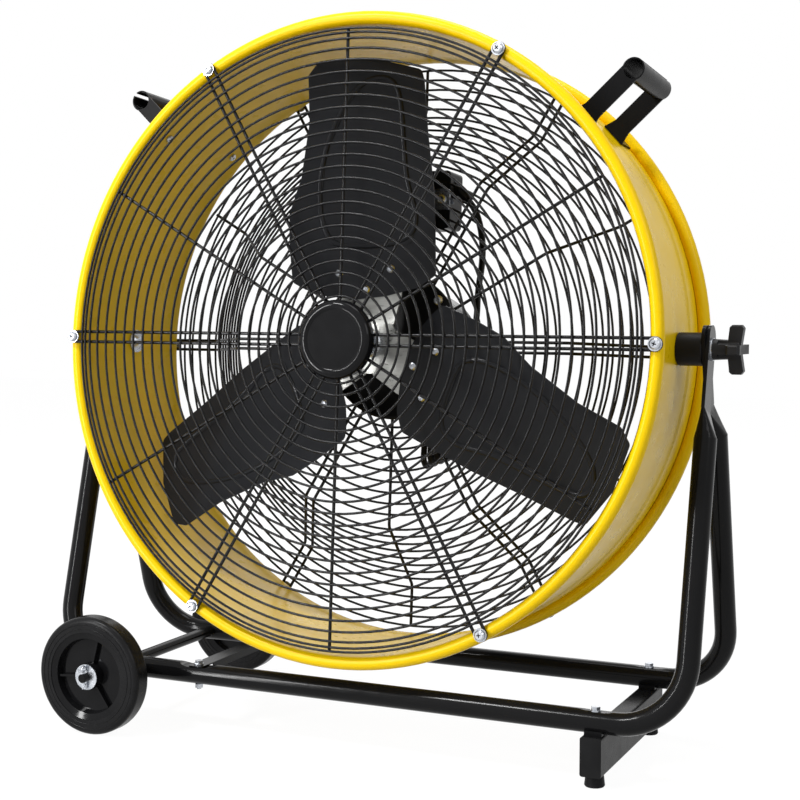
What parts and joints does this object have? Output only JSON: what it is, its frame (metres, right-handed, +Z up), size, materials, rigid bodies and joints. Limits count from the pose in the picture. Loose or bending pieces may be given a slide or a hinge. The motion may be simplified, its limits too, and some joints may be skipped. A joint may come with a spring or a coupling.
{
  "type": "drum fan",
  "caption": "Tilting drum fan with wire guards, pitched blades and a rear motor, held in a wheeled tube stand by hand knobs.",
  "frame": {"origin": "on the floor, midway between the two tilt pivots", "axes": "+X to the right seen from the air outlet side, +Y from the outlet to the back, +Z up"},
  "size_m": [0.9604, 0.4396, 0.9418],
  "materials": {
    "yellow_paint": "gloss",
    "black_tube_paint": "gloss",
    "black_wire_coat": "satin",
    "blade_coat": "satin",
    "motor_paint": "satin",
    "zinc": "satin",
    "galvanised": "satin",
    "steel": "satin",
    "core_steel": "matte",
    "black_plastic": "matte",
    "rubber": "matte",
    "tyre_rubber": "matte",
    "cord_rubber": "satin",
    "brass": "satin"
  },
  "bodies": {
    "stand": {"stand_tube_front": "black_tube_paint", "stand_tube_rear": "black_tube_paint", "foot_channel": "black_tube_paint", "foot_end_caps": "black_plastic", "foot_pads": "rubber", "cross_brace": "black_tube_paint", "frame_bolts": "zinc", "axle": "black_tube_paint", "axle_sleeves": "black_tube_paint", "wheel_retainers": "zinc"},
    "drum": {"drum_shell": "yellow_paint", "front_guard_rim": "black_wire_coat", "front_guard_rings": "black_wire_coat", "front_guard_wires": "black_wire_coat", "guard_washers": "zinc", "guard_screws": "zinc", "badge_cap": "black_plastic", "badge_plate": "black_plastic", "rear_guard_rings": "black_wire_coat", "rear_guard_wires": "black_wire_coat", "motor_front_plate": "motor_paint", "motor_housing": "motor_paint", "motor_rear_cover": "motor_paint", "motor_screws": "zinc", "motor_stator": "core_steel", "motor_bearings": "steel", "switch_box": "black_plastic", "switch_cover": "black_plastic", "switch_box_screws": "zinc", "switch_clip": "zinc", "speed_switch": "black_plastic", "run_capacitor": "black_plastic", "wiring_conduit": "black_plastic", "strain_relief": "black_plastic", "mains_cord": "cord_rubber", "cord_hank": "cord_rubber", "cord_tie": "black_plastic", "plug": "cord_rubber", "plug_pins": "brass", "handle_left": "black_tube_paint", "handle_right": "black_tube_paint", "handle_screws": "zinc", "pivot_spacers": "black_plastic", "pivot_bolts": "zinc", "pivot_washers": "zinc"},
    "rotor": {"blade_top": "blade_coat", "blade_left": "blade_coat", "blade_right": "blade_coat", "blade_rivets": "zinc", "spider": "galvanised", "hub": "steel", "motor_shaft": "steel", "motor_core": "core_steel"},
    "wheel_front": {"wheel_front_tyre": "tyre_rubber", "wheel_front_hub": "black_plastic"},
    "wheel_rear": {"wheel_rear_tyre": "tyre_rubber", "wheel_rear_hub": "black_plastic"},
    "knob_left": {"tilt_knob_left": "black_plastic"},
    "knob_right": {"tilt_knob_right": "black_plastic"},
    "speed_dial": {"speed_knob": "black_plastic"}
  },
  "joints": [
    {"name": "drum_tilt", "type": "hinge", "parent": "stand", "child": "drum", "pos_m": [0, 0, 0.519], "axis": [1, 0, 0], "continuous": true},
    {"name": "rotor_spin", "type": "hinge", "parent": "drum", "child": "rotor", "pos_m": [0, -0.00808, 0.51959], "axis": [0, 0.9973, -0.0732], "continuous": true},
    {"name": "wheel_front_spin", "type": "hinge", "parent": "stand", "child": "wheel_front", "pos_m": [-0.341, -0.188, 0.079], "axis": [0, 1, 0], "continuous": true},
    {"name": "wheel_rear_spin", "type": "hinge", "parent": "stand", "child": "wheel_rear", "pos_m": [-0.341, 0.188, 0.079], "axis": [0, 1, 0], "continuous": true},
    {"name": "knob_left_turn", "type": "hinge", "parent": "drum", "child": "knob_left", "pos_m": [-0.455, 0, 0.519], "axis": [-1, 0, 0], "range_deg": [0, 360]},
    {"name": "knob_right_turn", "type": "hinge", "parent": "drum", "child": "knob_right", "pos_m": [0.455, 0, 0.519], "axis": [1, 0, 0], "range_deg": [0, 360]},
    {"name": "speed_dial_turn", "type": "hinge", "parent": "drum", "child": "speed_dial", "pos_m": [0.04, 0.10192, 0.693], "axis": [0, 0.9973, -0.0732], "range_deg": [0, 135]}
  ]
}
